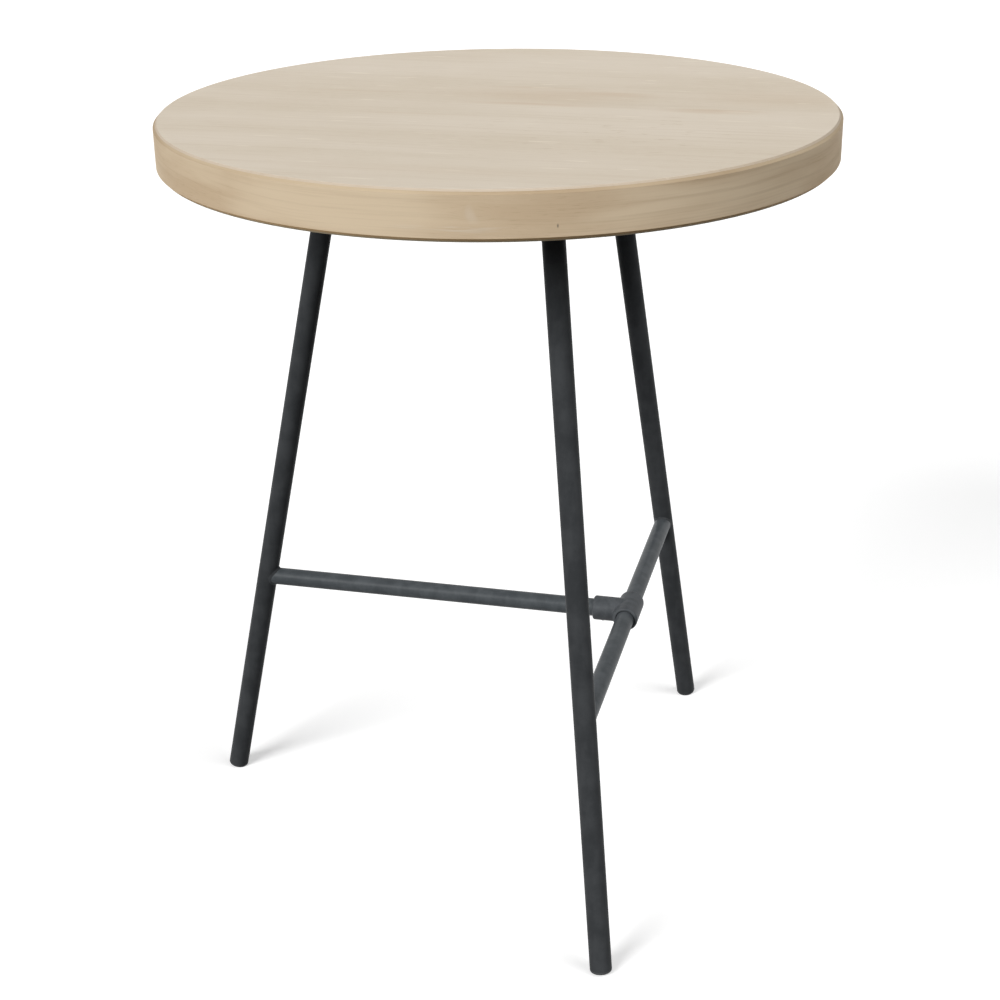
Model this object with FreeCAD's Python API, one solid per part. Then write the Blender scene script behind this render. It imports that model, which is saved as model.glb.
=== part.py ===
import FreeCAD, Part
import math
import os

# Round table with an oak-faced top on three splayed tube legs.
# Millimetres, +Z up, origin on the floor under the middle of the top.
# The left leg stands on -X, the other two at 60 degrees either side of +X.

# Top
top_diameter = 600.0
overall_height = 715.0
top_thickness = 40.0
edge_chamfer = 3.5
veneer_thickness = 1.5
lipping_width = 12.0
lipping_joint_angle = 15.0

# Legs
leg_diameter = 20.0
leg_wall = 1.5
leg_radius_at_top = 153.3
leg_radius_at_floor = 297.5
leg_angles = {"left": 180.0, "front": 300.0, "right": 60.0}

# Foot caps
cap_head_length = 3.0
cap_edge_radius = 2.5
cap_pad_depth = 0.5
cap_stem_length = 18.0
cap_stem_clearance = 0.1
cap_stem_chamfer = 1.5

# Stretcher and crossbars
bar_diameter = 17.2
bar_wall = 2.0
bar_height = 231.0

# Tee connector
tee_diameter = 24.0
tee_branch_diameter = 23.6
tee_crotch_radius = 3.0
tee_half_run = 20.0
tee_branch_reach = 34.0
tee_socket_clearance = 0.2
tee_run_socket_depth = 14.0
tee_branch_socket_depth = 18.0
tee_run_bore_diameter = 11.0
tee_branch_bore_diameter = 10.8
tee_end_radius = 2.0
tee_mouth_chamfer = 0.8

# Grub screws of the tee
grub_diameter = 5.0
grub_length = 4.0
grub_hex_width = 2.5
grub_hex_depth = 2.0
grub_chamfer = 0.4
thread_clearance = 0.05
grub_place_share = 0.5

# Leg plates
plate_side = 80.0
plate_thickness = 4.0
plate_corner_radius = 8.0
plate_edge_chamfer = 0.6
plate_hole_spacing = 60.0
plate_hole_diameter = 6.6

# Screws and threaded inserts
screw_diameter = 6.0
screw_length = 16.0
screw_tip_chamfer = 0.6
screw_head_diameter = 10.5
screw_head_height = 3.3
screw_head_crown = 2.2
screw_hex_width = 4.0
screw_hex_depth = 2.0
insert_diameter = 9.0
insert_length = 13.0
insert_chamfer = 0.5
insert_hole_depth = 15.0

# Welds
plate_weld_leg = 3.0
plate_weld_toe = 0.3
bar_weld_leg = 1.5

# Values that follow from the ones above
top_radius = top_diameter / 2
leg_radius = leg_diameter / 2
leg_bore_radius = leg_radius - leg_wall
bar_radius = bar_diameter / 2
bar_bore_radius = bar_radius - bar_wall
tee_radius = tee_diameter / 2
tee_branch_radius = tee_branch_diameter / 2
socket_radius = bar_radius + tee_socket_clearance
underside = overall_height - top_thickness
plate_bottom = underside - plate_thickness
leg_run = leg_radius_at_floor - leg_radius_at_top
leg_slope = leg_run / underside
splay = math.atan(leg_slope)
UP = FreeCAD.Vector(0, 0, 1)
ORIGIN = FreeCAD.Vector(0, 0, 0)
straight_kinds = (Part.Circle, Part.Line)


def leg_reach(height):
    """Distance of the leg axis from the table's axis at a height."""
    return leg_radius_at_floor - leg_slope * height


def about_z(shape, angle):
    """A copy of the shape turned about the table's axis."""
    turned = shape.copy()
    turned.rotate(ORIGIN, UP, angle)
    return turned


def rod(start, end, radius):
    """A solid cylinder between two points."""
    along = end.sub(start)
    return Part.makeCylinder(radius, along.Length, start, along)


def hexagon(width, depth, base):
    """An upright hexagonal bar for a socket, measured across its flats."""
    corner = width / math.sqrt(3)
    points = []
    for step in range(7):
        turn = math.radians(60 * step)
        offset = FreeCAD.Vector(corner * math.cos(turn), corner * math.sin(turn), 0)
        points.append(base.add(offset))
    face = Part.Face(Part.makePolygon(points))
    return face.extrude(FreeCAD.Vector(0, 0, depth))


def revolved(points):
    """A solid turned about Z from a closed outline of (radius, height) pairs."""
    corners = [FreeCAD.Vector(r, 0, z) for r, z in points]
    corners.append(corners[0])
    face = Part.Face(Part.makePolygon(corners))
    return face.revolve(ORIGIN, UP, 360)


def circle_edges(shape, radius, test):
    """Whole circular edges of one radius whose centre passes the test."""
    found = []
    for edge in shape.Edges:
        curve = edge.Curve
        if not isinstance(curve, Part.Circle):
            continue
        if abs(curve.Radius - radius) > radius * 0.001:
            continue
        if test(curve.Center):
            found.append(edge)
    return found


os.makedirs("parts", exist_ok=True)
nodes = {}

# The whole top as one turned outline, parted into its layers below.
top_outline = [
    (0, underside),
    (top_radius - edge_chamfer, underside),
    (top_radius, underside + edge_chamfer),
    (top_radius, overall_height - edge_chamfer),
    (top_radius - edge_chamfer, overall_height),
    (0, overall_height),
]
whole_top = revolved(top_outline)
core_bottom = underside + veneer_thickness
core_height = top_thickness - 2 * veneer_thickness
core_radius = top_radius - lipping_width
slab_radius = top_radius * 1.1
low_slab = Part.makeCylinder(slab_radius, veneer_thickness, FreeCAD.Vector(0, 0, underside))
mid_slab = Part.makeCylinder(slab_radius, core_height, FreeCAD.Vector(0, 0, core_bottom))
high_base = FreeCAD.Vector(0, 0, core_bottom + core_height)
high_slab = Part.makeCylinder(slab_radius, veneer_thickness, high_base)
core = Part.makeCylinder(core_radius, core_height, FreeCAD.Vector(0, 0, core_bottom))
bottom_veneer = whole_top.common(low_slab)
nodes["top_veneer"] = whole_top.common(high_slab)

# The lipping is a ring in two bent halves that meet in butt joints.
ring = whole_top.common(mid_slab).cut(core)
half_corner = FreeCAD.Vector(-slab_radius, -slab_radius, underside)
half_box = Part.makeBox(2 * slab_radius, slab_radius, top_thickness, half_corner)
front_box = about_z(half_box, lipping_joint_angle)
nodes["edge_lipping_front"] = ring.common(front_box)
nodes["edge_lipping_back"] = ring.cut(front_box)

# Screw places, four to a plate.
plate_reach = leg_reach(plate_bottom)
half_spacing = plate_hole_spacing / 2
screw_places = []
for angle in leg_angles.values():
    for side_x in (-1, 1):
        for side_y in (-1, 1):
            place = FreeCAD.Vector(plate_reach + side_x * half_spacing, side_y * half_spacing, 0)
            turn = FreeCAD.Rotation(UP, angle)
            screw_places.append(turn.multVec(place))

# Blind holes for the inserts, through the lower veneer into the core.
hole_radius = insert_diameter / 2 + thread_clearance
for place in screw_places:
    hole_base = FreeCAD.Vector(place.x, place.y, underside)
    hole = Part.makeCylinder(hole_radius, insert_hole_depth, hole_base)
    core = core.cut(hole)
    bottom_veneer = bottom_veneer.cut(hole)
nodes["top_core"] = core
nodes["bottom_veneer"] = bottom_veneer

# One leg is drawn along +X and turned to its place. Its foot is cut square
# to the leg, with a rounded edge that is flattened where it meets the floor.
leg_down = FreeCAD.Vector(math.sin(splay), 0, -math.cos(splay))
edge_drop = (leg_radius - cap_edge_radius) * math.sin(splay)
edge_rise = cap_edge_radius * (1 - math.cos(splay))
foot_end_height = edge_drop + edge_rise - cap_pad_depth
foot_end = FreeCAD.Vector(leg_reach(foot_end_height), 0, foot_end_height)
tube_end = foot_end.sub(leg_down * cap_head_length)
beyond_height = overall_height
beyond = FreeCAD.Vector(leg_reach(beyond_height), 0, beyond_height)
leg_outer = rod(tube_end, beyond, leg_radius)
leg_bore = rod(tube_end, beyond, leg_bore_radius)
above_corner = FreeCAD.Vector(-top_diameter, -top_diameter, plate_bottom)
above_box = Part.makeBox(2 * top_diameter, 2 * top_diameter, top_diameter, above_corner)
leg_tube = leg_outer.cut(leg_bore).cut(above_box)
leg_solid = rod(foot_end, beyond, leg_radius)

# Foot cap: a head as wide as the tube and a stem inside it.
stem_radius = leg_bore_radius - cap_stem_clearance
head = rod(foot_end, tube_end, leg_radius)
head_rims = []
for edge in head.Edges:
    if isinstance(edge.Curve, Part.Circle) and edge.Curve.Center.sub(foot_end).Length < cap_pad_depth:
        head_rims.append(edge)
head = head.makeFillet(cap_edge_radius, head_rims)
stem_top = tube_end.sub(leg_down * cap_stem_length)
stem = rod(tube_end, stem_top, stem_radius)
stem_rims = []
for edge in stem.Edges:
    if isinstance(edge.Curve, Part.Circle) and edge.Curve.Center.sub(stem_top).Length < cap_stem_chamfer:
        stem_rims.append(edge)
stem = stem.makeChamfer(cap_stem_chamfer, stem_rims)
floor_corner = FreeCAD.Vector(-top_diameter, -top_diameter, -top_thickness)
floor_box = Part.makeBox(2 * top_diameter, 2 * top_diameter, top_thickness, floor_corner)
foot_cap = head.fuse(stem).cut(floor_box)

# Leg plate, welded to the top of the tube and screwed to the top.
half_side = plate_side / 2
plate_corner = FreeCAD.Vector(plate_reach - half_side, -half_side, plate_bottom)
plate = Part.makeBox(plate_side, plate_side, plate_thickness, plate_corner)
upright_edges = [edge for edge in plate.Edges if abs(edge.tangentAt(edge.FirstParameter).z) > 0.9]
plate = plate.makeFillet(plate_corner_radius, upright_edges)
lower_edges = [edge for edge in plate.Edges if edge.BoundBox.ZMax < plate_bottom + plate_edge_chamfer]
plate = plate.makeChamfer(plate_edge_chamfer, lower_edges)
for side_x in (-1, 1):
    for side_y in (-1, 1):
        hole_x = plate_reach + side_x * half_spacing
        hole_base = FreeCAD.Vector(hole_x, side_y * half_spacing, plate_bottom)
        plate = plate.cut(Part.makeCylinder(plate_hole_diameter / 2, plate_thickness, hole_base))

# Fillet weld round the top of the tube, under the plate.
tube_stretch = 1 / math.cos(splay)
weld_low = plate_bottom - plate_weld_leg
high_centre = FreeCAD.Vector(leg_reach(plate_bottom), 0, plate_bottom)
low_centre = FreeCAD.Vector(leg_reach(weld_low), 0, weld_low)
high_radius = leg_radius + plate_weld_leg
low_radius = leg_radius + plate_weld_toe
high_ellipse = Part.Ellipse(high_centre, high_radius * tube_stretch, high_radius)
low_ellipse = Part.Ellipse(low_centre, low_radius * tube_stretch, low_radius)
high_wire = Part.Wire(high_ellipse.toShape())
low_wire = Part.Wire(low_ellipse.toShape())
plate_weld = Part.makeLoft([low_wire, high_wire], True, True).cut(leg_solid)

plate_welds = []
for name, angle in leg_angles.items():
    nodes["leg_tube_" + name] = about_z(leg_tube, angle)
    nodes["foot_cap_" + name] = about_z(foot_cap, angle)
    nodes["leg_plate_" + name] = about_z(plate, angle)
    plate_welds.append(about_z(plate_weld, angle))
nodes["plate_welds"] = Part.makeCompound(plate_welds)

# Button-head screws and the threaded inserts they turn into.
screws = []
inserts = []
head_bottom = plate_bottom - screw_head_height
shank_radius = screw_diameter / 2
head_radius = screw_head_diameter / 2
tip_height = plate_bottom + screw_length
screw_outline = [
    (0, head_bottom),
    (head_radius - screw_head_crown, head_bottom),
    (head_radius, head_bottom + screw_head_crown),
    (head_radius, plate_bottom),
    (shank_radius, plate_bottom),
    (shank_radius, tip_height - screw_tip_chamfer),
    (shank_radius - screw_tip_chamfer, tip_height),
    (0, tip_height),
]
screw = revolved(screw_outline)
screw = screw.cut(hexagon(screw_hex_width, screw_hex_depth, FreeCAD.Vector(0, 0, head_bottom)))
insert_radius = insert_diameter / 2
thread_radius = shank_radius + thread_clearance
insert_outline = [
    (thread_radius, underside),
    (insert_radius, underside),
    (insert_radius, underside + insert_length - insert_chamfer),
    (insert_radius - insert_chamfer, underside + insert_length),
    (thread_radius, underside + insert_length),
]
insert = revolved(insert_outline)
for place in screw_places:
    moved_screw = screw.copy()
    moved_screw.translate(place)
    screws.append(moved_screw)
    moved_insert = insert.copy()
    moved_insert.translate(place)
    inserts.append(moved_insert)
nodes["plate_screws"] = Part.makeCompound(screws)
nodes["threaded_inserts"] = Part.makeCompound(inserts)

# The tee sits where the stretcher meets the line between the two other legs.
bar_reach = leg_reach(bar_height)
tee_x = bar_reach * math.cos(math.radians(leg_angles["right"]))
leg_y = bar_reach * math.sin(math.radians(leg_angles["right"]))
tee_centre = FreeCAD.Vector(tee_x, 0, bar_height)
run_near = FreeCAD.Vector(tee_x, -tee_half_run, bar_height)
run_far = FreeCAD.Vector(tee_x, tee_half_run, bar_height)
branch_end = FreeCAD.Vector(tee_x - tee_branch_reach, 0, bar_height)

# Stretcher and crossbars: tubes coped to the legs and pushed into the tee.
branch_stop = FreeCAD.Vector(branch_end.x + tee_branch_socket_depth, 0, bar_height)
near_stop = FreeCAD.Vector(tee_x, -tee_half_run + tee_run_socket_depth, bar_height)
far_stop = FreeCAD.Vector(tee_x, tee_half_run - tee_run_socket_depth, bar_height)
left_axis = FreeCAD.Vector(-bar_reach, 0, bar_height)
front_axis = FreeCAD.Vector(tee_x, -leg_y, bar_height)
right_axis = FreeCAD.Vector(tee_x, leg_y, bar_height)
bar_ends = {
    "long_stretcher": ("left", left_axis, branch_stop),
    "crossbar_front": ("front", front_axis, near_stop),
    "crossbar_right": ("right", right_axis, far_stop),
}
bar_welds = []
for bar_name, (leg_name, at_leg, at_stop) in bar_ends.items():
    turned_leg = about_z(leg_solid, leg_angles[leg_name])
    bar_outer = rod(at_leg, at_stop, bar_radius)
    bar_inner = rod(at_leg, at_stop, bar_bore_radius)
    nodes[bar_name] = bar_outer.cut(bar_inner).cut(turned_leg)
    joined = turned_leg.fuse(bar_outer)
    seam = [edge for edge in joined.Edges if not isinstance(edge.Curve, straight_kinds)]
    welded = joined.makeChamfer(bar_weld_leg, seam)
    bar_welds.append(welded.cut(turned_leg).cut(bar_outer))
nodes["stretcher_welds"] = Part.makeCompound(bar_welds)

# Tee body with a rounded crotch and mouths, and a stop inside each socket.
run = rod(run_near, run_far, tee_radius)
branch = rod(branch_end, tee_centre, tee_branch_radius)
tee = run.fuse(branch)
crotch_edges = [edge for edge in tee.Edges if not isinstance(edge.Curve, straight_kinds)]
tee = tee.makeFillet(tee_crotch_radius, crotch_edges)
run_rims = circle_edges(tee, tee_radius, lambda centre: centre.x > tee_x - tee_half_run)
branch_rims = circle_edges(tee, tee_branch_radius, lambda centre: centre.x < tee_x - tee_half_run)
tee = tee.makeFillet(tee_end_radius, run_rims + branch_rims)
tee = tee.cut(rod(run_near, near_stop, socket_radius))
tee = tee.cut(rod(run_far, far_stop, socket_radius))
tee = tee.cut(rod(branch_end, branch_stop, socket_radius))
tee = tee.cut(rod(run_near, run_far, tee_run_bore_diameter / 2))
tee = tee.cut(rod(branch_end, tee_centre, tee_branch_bore_diameter / 2))
mouth_radius = socket_radius + tee_mouth_chamfer
for mouth, stop in ((run_near, near_stop), (run_far, far_stop), (branch_end, branch_stop)):
    inward = stop.sub(mouth)
    inward.normalize()
    mouth_cone = Part.makeCone(mouth_radius, socket_radius, tee_mouth_chamfer, mouth, inward)
    tee = tee.cut(mouth_cone)

# Grub screws under the tee, one to each socket, bearing on the tubes.
grub_places = [
    near_stop.sub(FreeCAD.Vector(0, tee_run_socket_depth * grub_place_share, 0)),
    far_stop.add(FreeCAD.Vector(0, tee_run_socket_depth * grub_place_share, 0)),
    branch_stop.sub(FreeCAD.Vector(tee_branch_socket_depth * grub_place_share, 0, 0)),
]
grub_tip = bar_height - bar_radius
grub_low = grub_tip - grub_length
grub_radius = grub_diameter / 2
grub_outline = [
    (0, grub_low),
    (grub_radius - grub_chamfer, grub_low),
    (grub_radius, grub_low + grub_chamfer),
    (grub_radius, grub_tip - grub_chamfer),
    (grub_radius - grub_chamfer, grub_tip),
    (0, grub_tip),
]
grub = revolved(grub_outline)
grub = grub.cut(hexagon(grub_hex_width, grub_hex_depth, FreeCAD.Vector(0, 0, grub_low)))
grubs = []
for place in grub_places:
    moved_grub = grub.copy()
    moved_grub.translate(FreeCAD.Vector(place.x, place.y, 0))
    grubs.append(moved_grub)
    tapped_base = FreeCAD.Vector(place.x, place.y, bar_height - tee_diameter)
    tapped = Part.makeCylinder(grub_radius + thread_clearance, tee_diameter, tapped_base)
    tee = tee.cut(tapped)
nodes["tee_connector"] = tee
nodes["tee_grub_screws"] = Part.makeCompound(grubs)

for name, shape in nodes.items():
    shape.exportStep("parts/" + name + ".step")
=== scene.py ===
import bpy
import math
from mathutils import Matrix, Vector


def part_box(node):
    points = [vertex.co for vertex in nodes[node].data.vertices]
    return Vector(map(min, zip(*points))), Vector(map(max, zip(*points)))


# A round table: pale oak top, three splayed steel tube legs, a stretcher and
# a crossbar that meet in a tee. Metres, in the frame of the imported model.

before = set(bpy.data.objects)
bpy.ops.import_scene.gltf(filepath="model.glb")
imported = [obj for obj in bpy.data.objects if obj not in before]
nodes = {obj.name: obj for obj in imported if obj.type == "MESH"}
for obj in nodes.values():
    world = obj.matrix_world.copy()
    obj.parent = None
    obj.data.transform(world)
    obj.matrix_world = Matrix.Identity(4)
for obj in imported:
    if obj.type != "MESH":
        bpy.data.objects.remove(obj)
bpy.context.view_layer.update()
bpy.context.scene.view_settings.view_transform = "Standard"

# The camera, fitted to the photograph's rim, legs and feet. Its lens and
# sensor are in millimetres.
camera_place = Vector((0.3869, -1.5468, 1.0365))
camera_heading = math.radians(14.152)
camera_pitch = math.radians(23.686)
camera_roll = math.radians(-0.837)
camera_lens = 64.98
camera_sensor = 36.0

# Tones, as the eye sees them on a 0 to 255 scale.
oak_pale = (216, 205, 189)
oak_deep = (210, 198, 180)
oak_line = (182, 162, 137)
oak_heart = (195, 171, 144)
oak_light = (229, 219, 202)
edge_pale = (213, 194, 166)
edge_deep = (197, 175, 146)
edge_line = (163, 140, 110)
# Painted light: the lower chamfer's tone stands in for light thrown up from the floor.
edge_low_painted_light = (238, 196, 140)
under_pale = (208, 192, 164)
under_deep = (187, 169, 138)
board_pale = (186, 160, 124)
board_deep = (158, 130, 94)
coat_light = (63, 65, 67)
coat_dark = (52, 54, 56)
# The bars' tones are the legs' coat painted lighter, as painted light.
bar_light_painted_lighter = (80, 84, 87)
bar_dark_painted_lighter = (66, 70, 73)
cast_light = (81, 84, 87)
cast_dark = (68, 71, 74)
cap_light = (60, 62, 64)
cap_dark = (48, 50, 52)
black_light = (44, 44, 46)
black_dark = (28, 28, 30)
brass_light = (205, 172, 104)
brass_dark = (178, 142, 78)

# What the wood's colour is multiplied by on the upper chamfer: painted shade that dims
# the chamfer's bright line.
veneer_arris_painted_shade = (0.79, 0.75, 0.71, 1.0)
lipping_arris_painted_shade = (0.75, 0.74, 0.72, 1.0)

top_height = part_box("top_veneer")[1].z
underside_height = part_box("bottom_veneer")[0].z
edge_radius = (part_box("edge_lipping_front")[1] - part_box("edge_lipping_back")[0]).x / 2
chamfer = 0.0035
chamfer_blur = 0.0003

# The floor's colour and glow where the camera sees it, and its colour for the
# light that it throws back. White in the world's glow is 1.
floor_reach = 40.0
floor_white = 0.9
floor_glow = 0.345
floor_bounce = 0.04
sky_white = 1.0
sky_light = 0.09


def linear(tone):
    """A 0 to 255 screen tone as Blender's linear colour."""
    parts = []
    for value in tone:
        share = value / 255
        if share <= 0.04045:
            parts.append(share / 12.92)
        else:
            parts.append(((share + 0.055) / 1.055) ** 2.4)
    return (*parts, 1.0)


def grey(value):
    return (value, value, value, 1.0)


class Graph:
    """A node tree whose shader nodes are added one call at a time."""

    def __init__(self, tree):
        self.tree = tree

    def add(self, kind, inputs, **settings):
        node = self.tree.nodes.new(kind)
        for key, value in settings.items():
            setattr(node, key, value)
        for key, value in inputs.items():
            self.feed(node.inputs[key], value)
        return node

    def feed(self, socket, value):
        if isinstance(value, bpy.types.NodeSocket):
            self.tree.links.new(value, socket)
        else:
            socket.default_value = value

    def calculate(self, operation, first, second=0.0, clamp=False):
        inputs = {0: first, 1: second}
        node = self.add("ShaderNodeMath", inputs, operation=operation, use_clamp=clamp)
        return node.outputs[0]

    def plus(self, first, second):
        return self.calculate("ADD", first, second)

    def minus(self, first, second):
        return self.calculate("SUBTRACT", first, second)

    def times(self, first, second):
        return self.calculate("MULTIPLY", first, second)

    def length(self, x, y):
        squares = self.plus(self.times(x, x), self.times(y, y))
        return self.calculate("SQRT", squares)

    def place(self):
        """The point in the object's own frame, and its x, y and z."""
        point = self.add("ShaderNodeTexCoord", {}).outputs["Object"]
        split = self.add("ShaderNodeSeparateXYZ", {0: point})
        return point, split.outputs[0], split.outputs[1], split.outputs[2]

    def join(self, x, y, z):
        return self.add("ShaderNodeCombineXYZ", {0: x, 1: y, 2: z}).outputs[0]

    def noise(self, point, scale, detail=3.0, roughness=0.5):
        inputs = {"Vector": point, "Scale": scale}
        inputs["Detail"] = detail
        inputs["Roughness"] = roughness
        return self.add("ShaderNodeTexNoise", inputs).outputs[0]

    def remap(self, value, low, high, new_low=0.0, new_high=1.0):
        """A smooth change from one range to another, held at its ends."""
        inputs = {"Value": value, "From Min": low, "From Max": high}
        inputs["To Min"] = new_low
        inputs["To Max"] = new_high
        node = self.add("ShaderNodeMapRange", inputs, interpolation_type="SMOOTHSTEP")
        return node.outputs[0]

    def blend(self, share, first, second, kind="MIX"):
        """Mixes two colours, which are a Mix node's inputs 6 and 7 and output 2."""
        node = self.add("ShaderNodeMix", {}, data_type="RGBA", blend_type=kind)
        self.feed(node.inputs[0], share)
        self.feed(node.inputs[6], first)
        self.feed(node.inputs[7], second)
        return node.outputs[2]

    def spot(self, along, across, centre, reach):
        """1 at the middle of an oval spot, falling smoothly to 0 at its rim."""
        dx = self.calculate("DIVIDE", self.minus(along, centre[0]), reach[0])
        dy = self.calculate("DIVIDE", self.minus(across, centre[1]), reach[1])
        return self.remap(self.length(dx, dy), 1.0, 0.0)


class Paint(Graph):
    """A material's graph, which ends in its own shader."""

    def __init__(self, name):
        self.material = bpy.data.materials.new(name)
        self.material.use_nodes = True
        super().__init__(self.material.node_tree)
        self.shader = self.tree.nodes["Principled BSDF"]

    def bump(self, height, strength, distance):
        inputs = {"Height": height, "Strength": strength, "Distance": distance}
        normal = self.add("ShaderNodeBump", inputs)
        self.feed(self.shader.inputs["Normal"], normal.outputs[0])

    def finish(self, colour, roughness, specular=0.5, metallic=0.0):
        self.feed(self.shader.inputs["Base Color"], colour)
        self.feed(self.shader.inputs["Roughness"], roughness)
        self.shader.inputs["Specular IOR Level"].default_value = specular
        self.shader.inputs["Metallic"].default_value = metallic
        return self.material


def oak(paint, along, across, deep, tones, band_scale=11.0, line_depth=0.16):
    """Oak figure: soft bands, fine grain lines and short pores along the grain.

    The tones are the pale bands', the dark bands' and the lines'. Returns the
    colour, the height for the bump, and how far a point lies in a dark band.
    """
    pale, dark, line = (linear(tone) for tone in tones)
    slow = paint.join(paint.times(along, 2.2), paint.times(across, 7.0), deep)
    drift = paint.times(paint.noise(slow, scale=1.0, detail=2.0), 0.030)
    wavy = paint.plus(across, drift)

    def grain(stretch, scale, detail, roughness=0.5):
        point = paint.join(paint.times(along, stretch), wavy, deep)
        return paint.noise(point, scale, detail, roughness)

    bands = grain(stretch=0.16, scale=band_scale, detail=3.0, roughness=0.45)
    lines = grain(stretch=0.016, scale=210.0, detail=4.0, roughness=0.6)
    threads = grain(stretch=0.02, scale=760.0, detail=2.0)
    pores = grain(stretch=0.055, scale=1500.0, detail=1.0)
    pore_zone = paint.remap(bands, 0.42, 0.62)
    pore_marks = paint.times(paint.remap(pores, 0.60, 0.72), pore_zone)
    band = paint.remap(bands, 0.34, 0.66)
    colour = paint.blend(band, pale, dark)
    line_share = paint.times(paint.remap(lines, 0.48, 0.74), line_depth)
    colour = paint.blend(line_share, colour, line)
    thread_share = paint.times(paint.remap(threads, 0.50, 0.75), 0.12)
    colour = paint.blend(thread_share, colour, line)
    colour = paint.blend(paint.times(pore_marks, 0.30), colour, line)
    height = paint.minus(paint.times(threads, 0.35), pore_marks)
    return colour, height, band


def oak_top():
    paint = Paint("oak_top")
    point, x, y, z = paint.place()
    colour, height, _ = oak(paint, x, y, z, (oak_pale, oak_deep, oak_line))

    # Reddish heartwood lies in a few long tongues right of the middle. Each
    # has its centre, its reach and its depth of colour.
    tongues = (
        ((0.030, 0.055), (0.130, 0.050), 0.30),
        ((0.025, 0.018), (0.085, 0.007), 0.44),
        ((0.015, 0.092), (0.080, 0.007), 0.28),
        ((0.092, 0.070), (0.060, 0.010), 0.32),
        ((0.190, 0.014), (0.060, 0.011), 0.46),
        ((0.235, 0.075), (0.110, 0.050), 0.18),
        ((-0.150, 0.050), (0.110, 0.006), 0.20),
        ((-0.060, -0.040), (0.090, 0.005), 0.18),
        ((0.020, -0.240), (0.150, 0.020), 0.12),
    )
    ragged = paint.noise(paint.join(paint.times(x, 0.10), y, z), scale=70.0)
    ragged_y = paint.plus(y, paint.times(paint.minus(ragged, 0.5), 0.022))
    for centre, reach, depth in tongues:
        share = paint.times(paint.spot(x, ragged_y, centre, reach), depth)
        colour = paint.blend(share, colour, linear(oak_heart))

    # Small dark flecks lie over the top and gather in its near right.
    fleck_at = paint.join(paint.times(x, 0.28), y, z)
    flecks = paint.remap(paint.noise(fleck_at, scale=210.0, detail=2.0), 0.62, 0.74)
    fleck_zone = paint.spot(x, y, centre=(0.130, -0.090), reach=(0.190, 0.110))
    fleck_share = paint.plus(paint.times(fleck_zone, 0.42), 0.10)
    colour = paint.blend(paint.times(flecks, fleck_share), colour, linear(oak_line))

    # Short light dashes are scattered over the whole top. They are read 7 m
    # higher in the noise, so that they don't follow the flecks.
    dash_at = paint.join(paint.times(x, 0.14), y, paint.plus(z, 7.0))
    dashes = paint.remap(paint.noise(dash_at, scale=150.0, detail=1.0), 0.68, 0.76)
    colour = paint.blend(paint.times(dashes, 0.45), colour, linear(oak_light))

    # Painted shade darkens the upper chamfer.
    radius = paint.length(x, y)
    arris_radius = edge_radius - chamfer
    painted_arris_shade = paint.remap(radius, arris_radius - chamfer_blur, arris_radius + chamfer_blur)
    colour = paint.blend(painted_arris_shade, colour, veneer_arris_painted_shade, "MULTIPLY")
    wear = paint.noise(point, scale=14.0, detail=4.0, roughness=0.6)
    paint.bump(height, strength=0.22, distance=0.0003)
    gloss = paint.remap(wear, 0.3, 0.7, new_low=0.50, new_high=0.62)
    return paint.finish(colour, gloss, specular=0.04)


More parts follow.
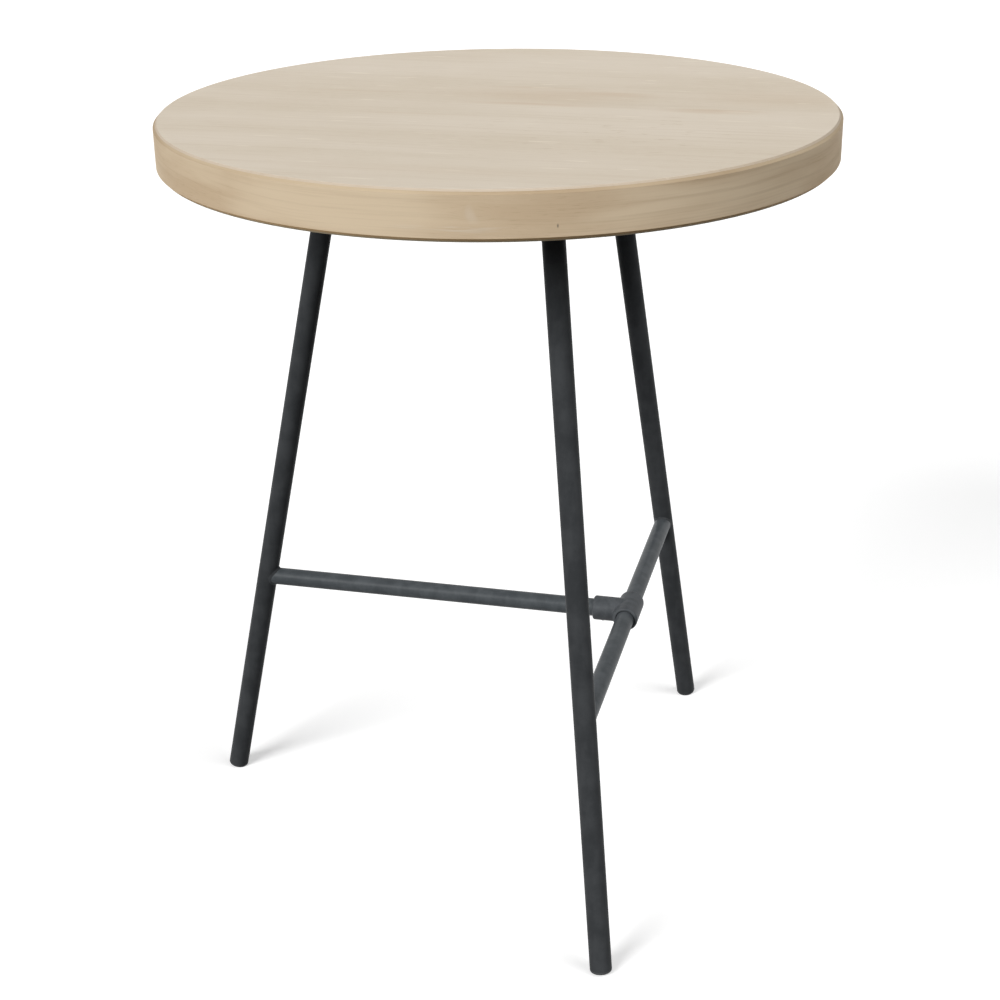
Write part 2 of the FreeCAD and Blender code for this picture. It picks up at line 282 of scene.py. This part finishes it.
def oak_edge(name, middle_angle, marks):
    """Grain that runs round the rim, measured from the middle of one half."""
    paint = Paint(name)
    point, x, y, z = paint.place()
    turn = math.radians(middle_angle)
    ahead = paint.plus(paint.times(x, math.cos(turn)), paint.times(y, math.sin(turn)))
    aside = paint.minus(paint.times(y, math.cos(turn)), paint.times(x, math.sin(turn)))
    arc = paint.times(paint.calculate("ARCTAN2", aside, ahead), edge_radius)
    radius = paint.length(x, y)

    def rim_place(angle, depth):
        """The arc and height of a place at an angle, this far below the top."""
        return (math.radians(angle - middle_angle) * edge_radius, top_height - depth)

    across = z
    knot_at = rim_place(-79.5, 0.017)
    if marks:
        # The grain swells round a small knot.
        knot = paint.spot(arc, z, knot_at, reach=(0.020, 0.012))
        side = paint.calculate("SIGN", paint.minus(z, knot_at[1]))
        across = paint.minus(z, paint.times(side, paint.times(knot, 0.003)))
    # The two halves are cut from different places in the same figure.
    offset = paint.plus(across, middle_angle * 0.01)
    tones = (edge_pale, edge_deep, edge_line)
    colour, height, _ = oak(
        paint, arc, offset, radius, tones, band_scale=42.0, line_depth=0.30
    )
    if marks:
        # The knot is a light crescent, with a few light streaks low beside it
        # and one dark speck further round.
        ring = paint.spot(arc, z, knot_at, reach=(0.009, 0.010))
        hollow_at = (knot_at[0] + 0.0022, knot_at[1] + 0.0014)
        hollow = paint.spot(arc, z, hollow_at, reach=(0.0085, 0.0095))
        crescent = paint.calculate("SUBTRACT", ring, hollow, clamp=True)
        colour = paint.blend(paint.times(crescent, 0.65), colour, linear(oak_pale))
        light = paint.spot(arc, z, rim_place(-83.0, 0.029), reach=(0.060, 0.005))
        streak_at = paint.join(paint.times(arc, 0.05), z, radius)
        streaks = paint.remap(paint.noise(streak_at, scale=420.0), 0.5, 0.64)
        share = paint.times(paint.times(light, streaks), 0.55)
        colour = paint.blend(share, colour, linear(oak_pale))
        speck = paint.spot(arc, z, rim_place(-67.7, 0.028), reach=(0.0012, 0.0024))
        colour = paint.blend(paint.times(speck, 0.75), colour, linear(coat_light))
    # Painted shade darkens the upper chamfer.
    high = top_height - chamfer
    painted_arris_shade = paint.remap(z, high - chamfer_blur, high + chamfer_blur)
    colour = paint.blend(painted_arris_shade, colour, lipping_arris_painted_shade, "MULTIPLY")
    # Painted light lightens the lower chamfer, standing in for light thrown up from the
    # floor.
    low = underside_height + chamfer
    low_arris_painted_light = paint.remap(z, low + chamfer_blur, low - chamfer_blur)
    colour = paint.blend(paint.times(low_arris_painted_light, 0.7), colour, linear(edge_low_painted_light))
    paint.bump(height, strength=0.22, distance=0.0003)
    wear = paint.noise(point, scale=18.0)
    gloss = paint.remap(wear, 0.3, 0.7, new_low=0.52, new_high=0.64)
    return paint.finish(colour, gloss, specular=0.04)


def oak_under():
    paint = Paint("oak_under")
    _, x, y, z = paint.place()
    # Read 3 m away in the figure, so that it doesn't repeat the top's.
    shifted = paint.plus(y, 3.0)
    tones = (under_pale, under_deep, edge_line)
    colour, height, band = oak(paint, x, shifted, z, tones)
    paint.bump(height, strength=0.25, distance=0.0003)
    gloss = paint.remap(band, 0.0, 1.0, new_low=0.58, new_high=0.68)
    return paint.finish(colour, gloss, specular=0.2)


def core_board():
    """Pressed board: short chips lying every way."""
    paint = Paint("core_board")
    point = paint.place()[0]
    inputs = {"Vector": point, "Scale": 320.0}
    chips = paint.add("ShaderNodeTexVoronoi", inputs).outputs["Color"]
    shade = paint.noise(point, scale=900.0, detail=2.0)
    pale, deep = linear(board_pale), linear(board_deep)
    colour = paint.blend(paint.remap(chips, 0.2, 0.8), pale, deep)
    colour = paint.blend(paint.times(shade, 0.3), colour, deep)
    paint.bump(shade, strength=0.4, distance=0.0004)
    gloss = paint.remap(shade, 0.3, 0.7, new_low=0.75, new_high=0.9)
    return paint.finish(colour, gloss, specular=0.2)


def coated(name, tones, patch_scale, peel_scale, peel_depth, rough, specular):
    """Matt powder coat: soft mottling, faint orange peel and uneven sheen.

    The tones are its light and its dark one, and rough is the least and the
    most roughness.
    """
    paint = Paint(name)
    point, x, y, z = paint.place()
    light, dark = (linear(tone) for tone in tones)
    patches = paint.noise(point, patch_scale, detail=4.0, roughness=0.6)
    grit = paint.noise(point, scale=900.0, detail=2.0)
    drawn = paint.noise(paint.join(x, y, paint.times(z, 0.08)), scale=130.0)
    mottle = paint.plus(paint.times(patches, 0.7), paint.times(drawn, 0.3))
    colour = paint.blend(paint.remap(mottle, 0.36, 0.64), dark, light)
    grit_share = paint.times(paint.remap(grit, 0.55, 0.75), 0.16)
    colour = paint.blend(grit_share, colour, light)
    peel = paint.noise(point, peel_scale, detail=2.0)
    paint.bump(peel, strength=0.35, distance=peel_depth)
    gloss = paint.remap(patches, 0.3, 0.7, *rough)
    return paint.finish(colour, gloss, specular=specular)


def plastic(name, tones):
    """Moulded plastic with a fine grain, scuffed where it meets the floor."""
    paint = Paint(name)
    point, _, _, z = paint.place()
    light, dark = (linear(tone) for tone in tones)
    grain = paint.noise(point, scale=2200.0, detail=2.0, roughness=0.6)
    patches = paint.noise(point, scale=120.0)
    colour = paint.blend(paint.remap(patches, 0.35, 0.65), dark, light)
    low = paint.remap(z, 0.004, 0.0)
    scuff = paint.times(low, paint.remap(paint.noise(point, scale=400.0), 0.4, 0.65))
    colour = paint.blend(paint.times(scuff, 0.5), colour, linear(cast_light))
    paint.bump(grain, strength=0.4, distance=0.0001)
    gloss = paint.remap(patches, 0.3, 0.7, new_low=0.55, new_high=0.68)
    return paint.finish(colour, gloss, specular=0.3)


def turned_metal(name, tones, metallic, rough):
    """Small turned hardware with fine tool marks across its axis."""
    paint = Paint(name)
    point, x, y, z = paint.place()
    light, dark = (linear(tone) for tone in tones)
    mark_at = paint.join(paint.times(x, 0.1), paint.times(y, 0.1), z)
    marks = paint.noise(mark_at, scale=5200.0, detail=2.0)
    patches = paint.noise(point, scale=500.0)
    colour = paint.blend(paint.remap(patches, 0.35, 0.65), dark, light)
    paint.bump(marks, strength=0.3, distance=0.00005)
    gloss = paint.remap(patches, 0.3, 0.7, *rough)
    return paint.finish(colour, gloss, metallic=metallic)


def dress(material, *names):
    """Gives CAD nodes a material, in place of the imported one."""
    for name in names:
        slots = nodes[name].material_slots
        for slot in slots:
            slot.material = material
        if len(slots) == 0:
            nodes[name].data.materials.append(material)


leg_coat = coated(
    "leg_coat", (coat_light, coat_dark), patch_scale=38.0,
    peel_scale=1400.0, peel_depth=0.0001, rough=(0.38, 0.44), specular=0.03,
)
# Painted light: the bars wear the same coat as the legs, in lighter tones.
bar_coat_painted_lighter = coated(
    "bar_coat_painted_lighter", (bar_light_painted_lighter, bar_dark_painted_lighter), patch_scale=55.0,
    peel_scale=1400.0, peel_depth=0.0001, rough=(0.34, 0.40), specular=0.08,
)
cast_coat = coated(
    "cast_coat", (cast_light, cast_dark), patch_scale=90.0,
    peel_scale=800.0, peel_depth=0.0003, rough=(0.38, 0.46), specular=0.07,
)
weld_coat = coated(
    "weld_coat", (coat_light, coat_dark), patch_scale=120.0,
    peel_scale=600.0, peel_depth=0.0004, rough=(0.42, 0.50), specular=0.05,
)
cap_plastic = plastic("cap_plastic", (cap_light, cap_dark))
black_screws = turned_metal(
    "black_screws", (black_light, black_dark), metallic=0.6, rough=(0.34, 0.48)
)
brass_inserts = turned_metal(
    "brass_inserts", (brass_light, brass_dark), metallic=1.0, rough=(0.28, 0.42)
)

dress(oak_top(), "top_veneer")
dress(oak_edge("oak_edge_front", -75.0, marks=True), "edge_lipping_front")
dress(oak_edge("oak_edge_back", 105.0, marks=False), "edge_lipping_back")
dress(oak_under(), "bottom_veneer")
dress(core_board(), "top_core")
for leg in ("left", "front", "right"):
    dress(leg_coat, "leg_tube_" + leg, "leg_plate_" + leg)
    dress(cap_plastic, "foot_cap_" + leg)
dress(bar_coat_painted_lighter, "long_stretcher", "crossbar_front", "crossbar_right")
dress(cast_coat, "tee_connector")
dress(weld_coat, "plate_welds", "stretcher_welds")
dress(black_screws, "plate_screws", "tee_grub_screws")
dress(brass_inserts, "threaded_inserts")


camera_data = bpy.data.cameras.new("camera")
camera_data.sensor_width = camera_sensor
camera_data.lens = camera_lens
camera = bpy.data.objects.new("camera", camera_data)
bpy.context.collection.objects.link(camera)
heading = Matrix.Rotation(camera_heading, 4, "Z")
pitch = Matrix.Rotation(math.pi / 2 - camera_pitch, 4, "X")
roll = Matrix.Rotation(camera_roll, 4, "Z")
camera.matrix_world = Matrix.Translation(camera_place) @ heading @ pitch @ roll
bpy.context.scene.camera = camera

# The floor looks white to the camera and in reflections, and keeps the
# table's shadow. It throws less light back up at the legs.
corners = [(-floor_reach, -floor_reach, 0), (floor_reach, -floor_reach, 0)]
corners += [(floor_reach, floor_reach, 0), (-floor_reach, floor_reach, 0)]
floor_mesh = bpy.data.meshes.new("floor")
floor_mesh.from_pydata(corners, [], [(0, 1, 2, 3)])
floor = bpy.data.objects.new("floor", floor_mesh)
bpy.context.collection.objects.link(floor)
floor_paint = Paint("floor")
floor_paint.tree.nodes.remove(floor_paint.shader)
floor_path = floor_paint.add("ShaderNodeLightPath", {}).outputs
floor_seen = floor_paint.calculate(
    "ADD", floor_path["Is Camera Ray"], floor_path["Is Glossy Ray"], clamp=True
)
floor_seen = floor_paint.calculate(
    "ADD", floor_seen, floor_path["Is Transmission Ray"], clamp=True
)
white = floor_paint.add("ShaderNodeBsdfDiffuse", {"Color": grey(floor_white)})
glow = floor_paint.add("ShaderNodeEmission", {"Color": grey(1.0), "Strength": floor_glow})
bounce = floor_paint.add("ShaderNodeBsdfDiffuse", {"Color": grey(floor_bounce)})
bright = floor_paint.add("ShaderNodeAddShader", {0: white.outputs[0], 1: glow.outputs[0]})
floor_look = floor_paint.add(
    "ShaderNodeMixShader", {0: floor_seen, 1: bounce.outputs[0], 2: bright.outputs[0]}
)
floor_end = floor_paint.tree.nodes["Material Output"]
floor_paint.feed(floor_end.inputs["Surface"], floor_look.outputs[0])
floor_mesh.materials.append(floor_paint.material)

# The world gives an even light. The camera and reflections see it white.
world = bpy.data.worlds.new("studio")
world.use_nodes = True
bpy.context.scene.world = world
sky = Graph(world.node_tree)
sky_path = sky.add("ShaderNodeLightPath", {}).outputs
sky_seen = sky.calculate(
    "MAXIMUM", sky_path["Is Camera Ray"], sky_path["Is Transmission Ray"]
)
sky_seen = sky.calculate("MAXIMUM", sky_seen, sky_path["Is Glossy Ray"])
sky_strength = sky.add(
    "ShaderNodeMapRange", {"Value": sky_seen, "To Min": sky_light, "To Max": sky_white}
)
background = sky.tree.nodes["Background"]
background.inputs["Color"].default_value = grey(1.0)
sky.feed(background.inputs["Strength"], sky_strength.outputs[0])


def soft_light(name, heading, height, spread, strength):
    """A wide, distant studio light. Heading and height say where it comes from."""
    data = bpy.data.lights.new(name, "SUN")
    data.angle = math.radians(spread)
    data.energy = strength
    light = bpy.data.objects.new(name, data)
    bpy.context.collection.objects.link(light)
    turn = math.radians(heading)
    rise = math.radians(height)
    flat = math.cos(rise)
    source = Vector((math.cos(turn) * flat, math.sin(turn) * flat, math.sin(rise)))
    light.rotation_euler = (-source).to_track_quat("-Z", "Y").to_euler()


soft_light("key_light", heading=-120, height=29, spread=30, strength=3.12)
soft_light("fill_light", heading=-12, height=40, spread=50, strength=1.66)
soft_light("top_light", heading=-76, height=80, spread=50, strength=0.13)
